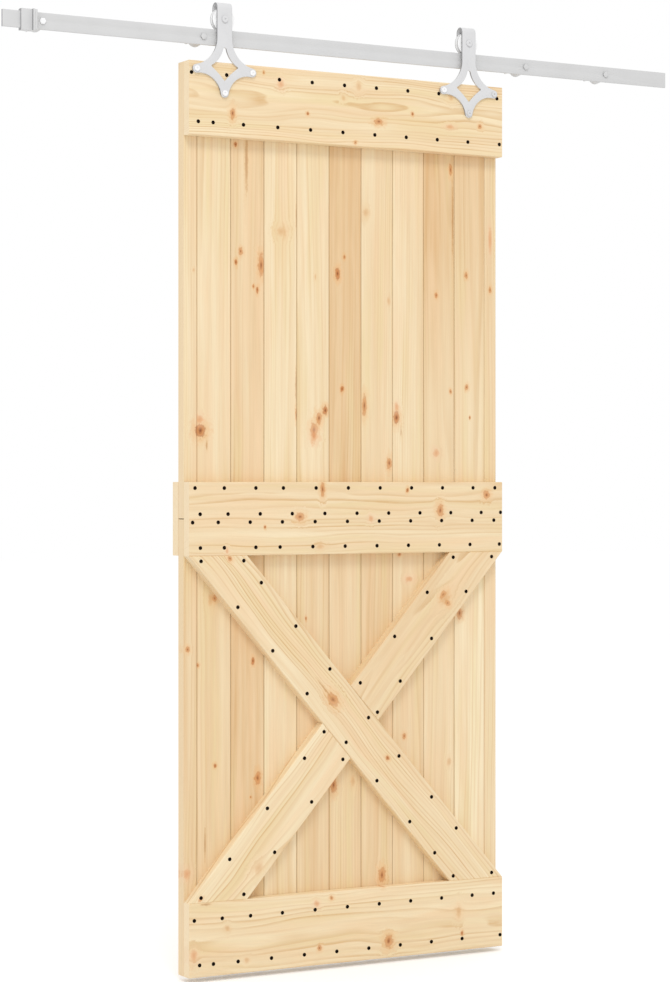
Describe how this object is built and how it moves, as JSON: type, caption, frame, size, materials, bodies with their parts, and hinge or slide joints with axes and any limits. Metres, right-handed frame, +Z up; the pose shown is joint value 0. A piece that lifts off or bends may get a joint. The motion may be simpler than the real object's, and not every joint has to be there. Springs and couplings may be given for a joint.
{
  "type": "sliding barn door",
  "caption": "Pine plank barn door with rails and a diagonal X brace, hung by folded strap hangers with grooved wheels from a wall-bolted flat steel track with an end stop.",
  "frame": {"origin": "on the face of the header board that carries the track, midway between the outer wall bolts, at bolt height", "axes": "+Z up, +X along the track to the right as seen by someone facing the door, +Y into the header and the wall"},
  "size_m": [1.8, 0.1067, 2.2385],
  "materials": {
    "pine_planks": "planed, bare",
    "pine_boards": "planed, bare",
    "black_screws": "black phosphate",
    "painted_steel": "satin light grey",
    "bright_bolts": "satin white",
    "wheel_nylon": "turned",
    "bush_steel": "turned",
    "bumper_rubber": "matt light grey"
  },
  "bodies": {
    "track": {"track_bar": "painted_steel", "wall_spacers": "painted_steel", "wall_bolts": "bright_bolts", "stop_collar": "painted_steel", "stop_bumper": "bumper_rubber", "stop_set_screw": "bright_bolts"},
    "door": {"upper_plank_01": "pine_planks", "upper_plank_02": "pine_planks", "upper_plank_03": "pine_planks", "upper_plank_04": "pine_planks", "upper_plank_05": "pine_planks", "upper_plank_06": "pine_planks", "upper_plank_07": "pine_planks", "upper_plank_08": "pine_planks", "upper_plank_09": "pine_planks", "upper_plank_10": "pine_planks", "upper_plank_11": "pine_planks", "lower_plank_01": "pine_planks", "lower_plank_02": "pine_planks", "lower_plank_03": "pine_planks", "lower_plank_04": "pine_planks", "lower_plank_05": "pine_planks", "lower_plank_06": "pine_planks", "lower_plank_07": "pine_planks", "lower_plank_08": "pine_planks", "lower_plank_09": "pine_planks", "lower_plank_10": "pine_planks", "lower_plank_11": "pine_planks", "top_rail": "pine_boards", "front_mid_rail": "pine_boards", "back_mid_rail": "pine_boards", "bottom_rail": "pine_boards", "long_brace": "pine_boards", "upper_short_brace": "pine_boards", "lower_short_brace": "pine_boards", "top_rail_screws": "black_screws", "mid_rail_screws": "black_screws", "bottom_rail_screws": "black_screws", "brace_screws": "black_screws", "hanger_screws": "bright_bolts", "wheel_bushes": "bush_steel", "axle_bolts": "painted_steel", "axle_nuts": "painted_steel", "left_hanger_strap": "painted_steel", "right_hanger_strap": "painted_steel"},
    "left_wheel": {"left_wheel": "wheel_nylon"},
    "right_wheel": {"right_wheel": "wheel_nylon"}
  },
  "joints": [
    {"name": "door_slide", "type": "slide", "parent": "track", "child": "door", "axis": [1, 0, 0], "range_m": [-0.44, 0.55]},
    {"name": "left_wheel_spin", "type": "hinge", "parent": "door", "child": "left_wheel", "pos_m": [-0.3125, -0.045, 0.0423], "axis": [0, 1, 0], "continuous": true},
    {"name": "right_wheel_spin", "type": "hinge", "parent": "door", "child": "right_wheel", "pos_m": [0.35, -0.045, 0.0423], "axis": [0, 1, 0], "continuous": true}
  ],
  "couplings": [
    {"joint": "left_wheel_spin", "follows": "door_slide", "rad_per_m": 43.478},
    {"joint": "right_wheel_spin", "follows": "door_slide", "rad_per_m": 43.478}
  ]
}
